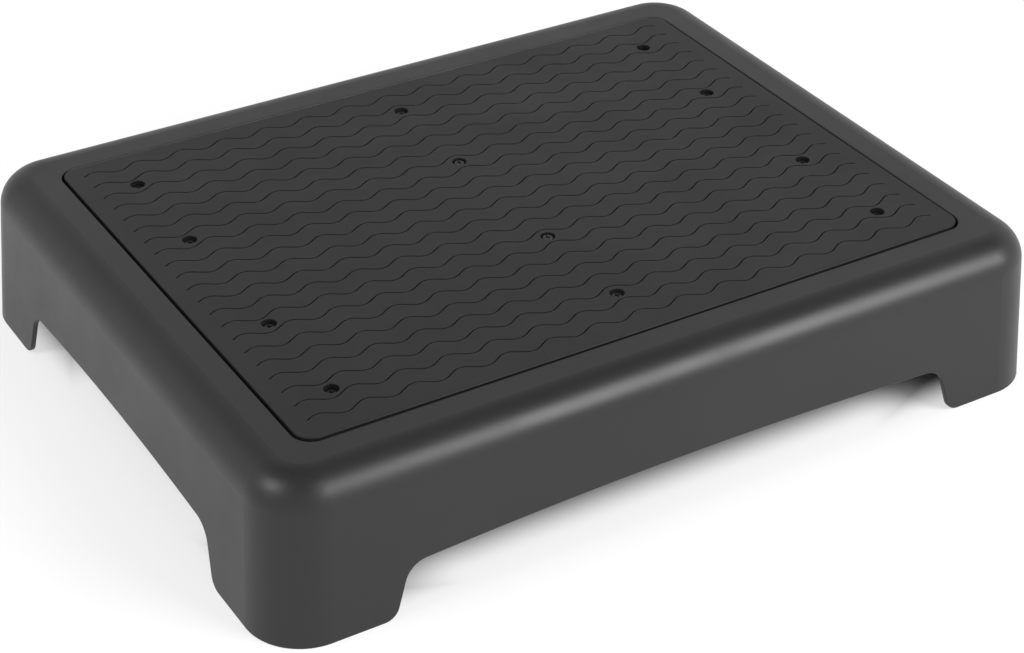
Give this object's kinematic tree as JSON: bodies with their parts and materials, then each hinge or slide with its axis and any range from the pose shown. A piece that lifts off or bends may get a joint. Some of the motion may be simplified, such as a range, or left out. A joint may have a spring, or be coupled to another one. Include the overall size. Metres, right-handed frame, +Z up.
{
  "type": "step stool",
  "caption": "Low rectangular platform step: hollow moulded base with an arch in each side and a recessed, gently dished tread plate with wavy grip grooves, held by cross-head screws.",
  "frame": {"origin": "on the floor, under the centre of the tread", "axes": "+X along the long side to the right, +Y towards the back, +Z up"},
  "size_m": [0.5458, 0.4228, 0.1051],
  "materials": {
    "base_plastic": "moulded dark grey plastic with a fine even grain and a soft sheen",
    "tread_plastic": "darker, duller plastic with a fine grain, grooved for grip",
    "screw_steel": "black coated steel"
  },
  "bodies": {
    "root": {"step_base": "base_plastic", "tread_plate": "tread_plastic", "tread_screw_01": "screw_steel", "tread_screw_02": "screw_steel", "tread_screw_03": "screw_steel", "tread_screw_04": "screw_steel", "tread_screw_05": "screw_steel", "tread_screw_06": "screw_steel", "tread_screw_07": "screw_steel", "tread_screw_08": "screw_steel", "tread_screw_09": "screw_steel", "tread_screw_10": "screw_steel", "tread_screw_11": "screw_steel", "tread_screw_12": "screw_steel"}
  },
  "joints": []
}
